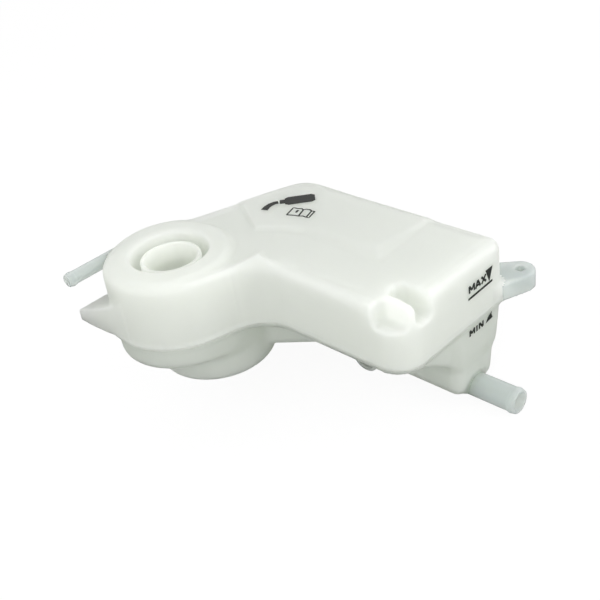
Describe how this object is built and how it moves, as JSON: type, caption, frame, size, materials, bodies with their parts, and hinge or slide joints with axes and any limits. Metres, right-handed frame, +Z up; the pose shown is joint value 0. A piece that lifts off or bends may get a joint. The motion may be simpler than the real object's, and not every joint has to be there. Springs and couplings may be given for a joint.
{
  "type": "coolant expansion tank",
  "caption": "Welded two-shell plastic expansion tank with an open filler neck, a vent spigot, an outlet spigot, a level sensor socket and a rear fixing lug.",
  "frame": {"origin": "axis of the screw hole in the rear lug, at the level of the weld seam between the two shells", "axes": "+X along the box towards the outlet spigot, +Y towards the back wall and the rear lug, +Z up along the filler neck"},
  "size_m": [0.281, 0.232, 0.1234],
  "materials": {
    "upper_plastic": "milky translucent natural polypropylene, fine moulded satin",
    "lower_plastic": "milky translucent natural polypropylene, fine moulded satin",
    "pin_steel": "drawn stainless wire"
  },
  "bodies": {
    "root": {"upper_shell": "upper_plastic", "lower_shell": "lower_plastic", "sensor_pin_left": "pin_steel", "sensor_pin_right": "pin_steel"}
  },
  "joints": []
}
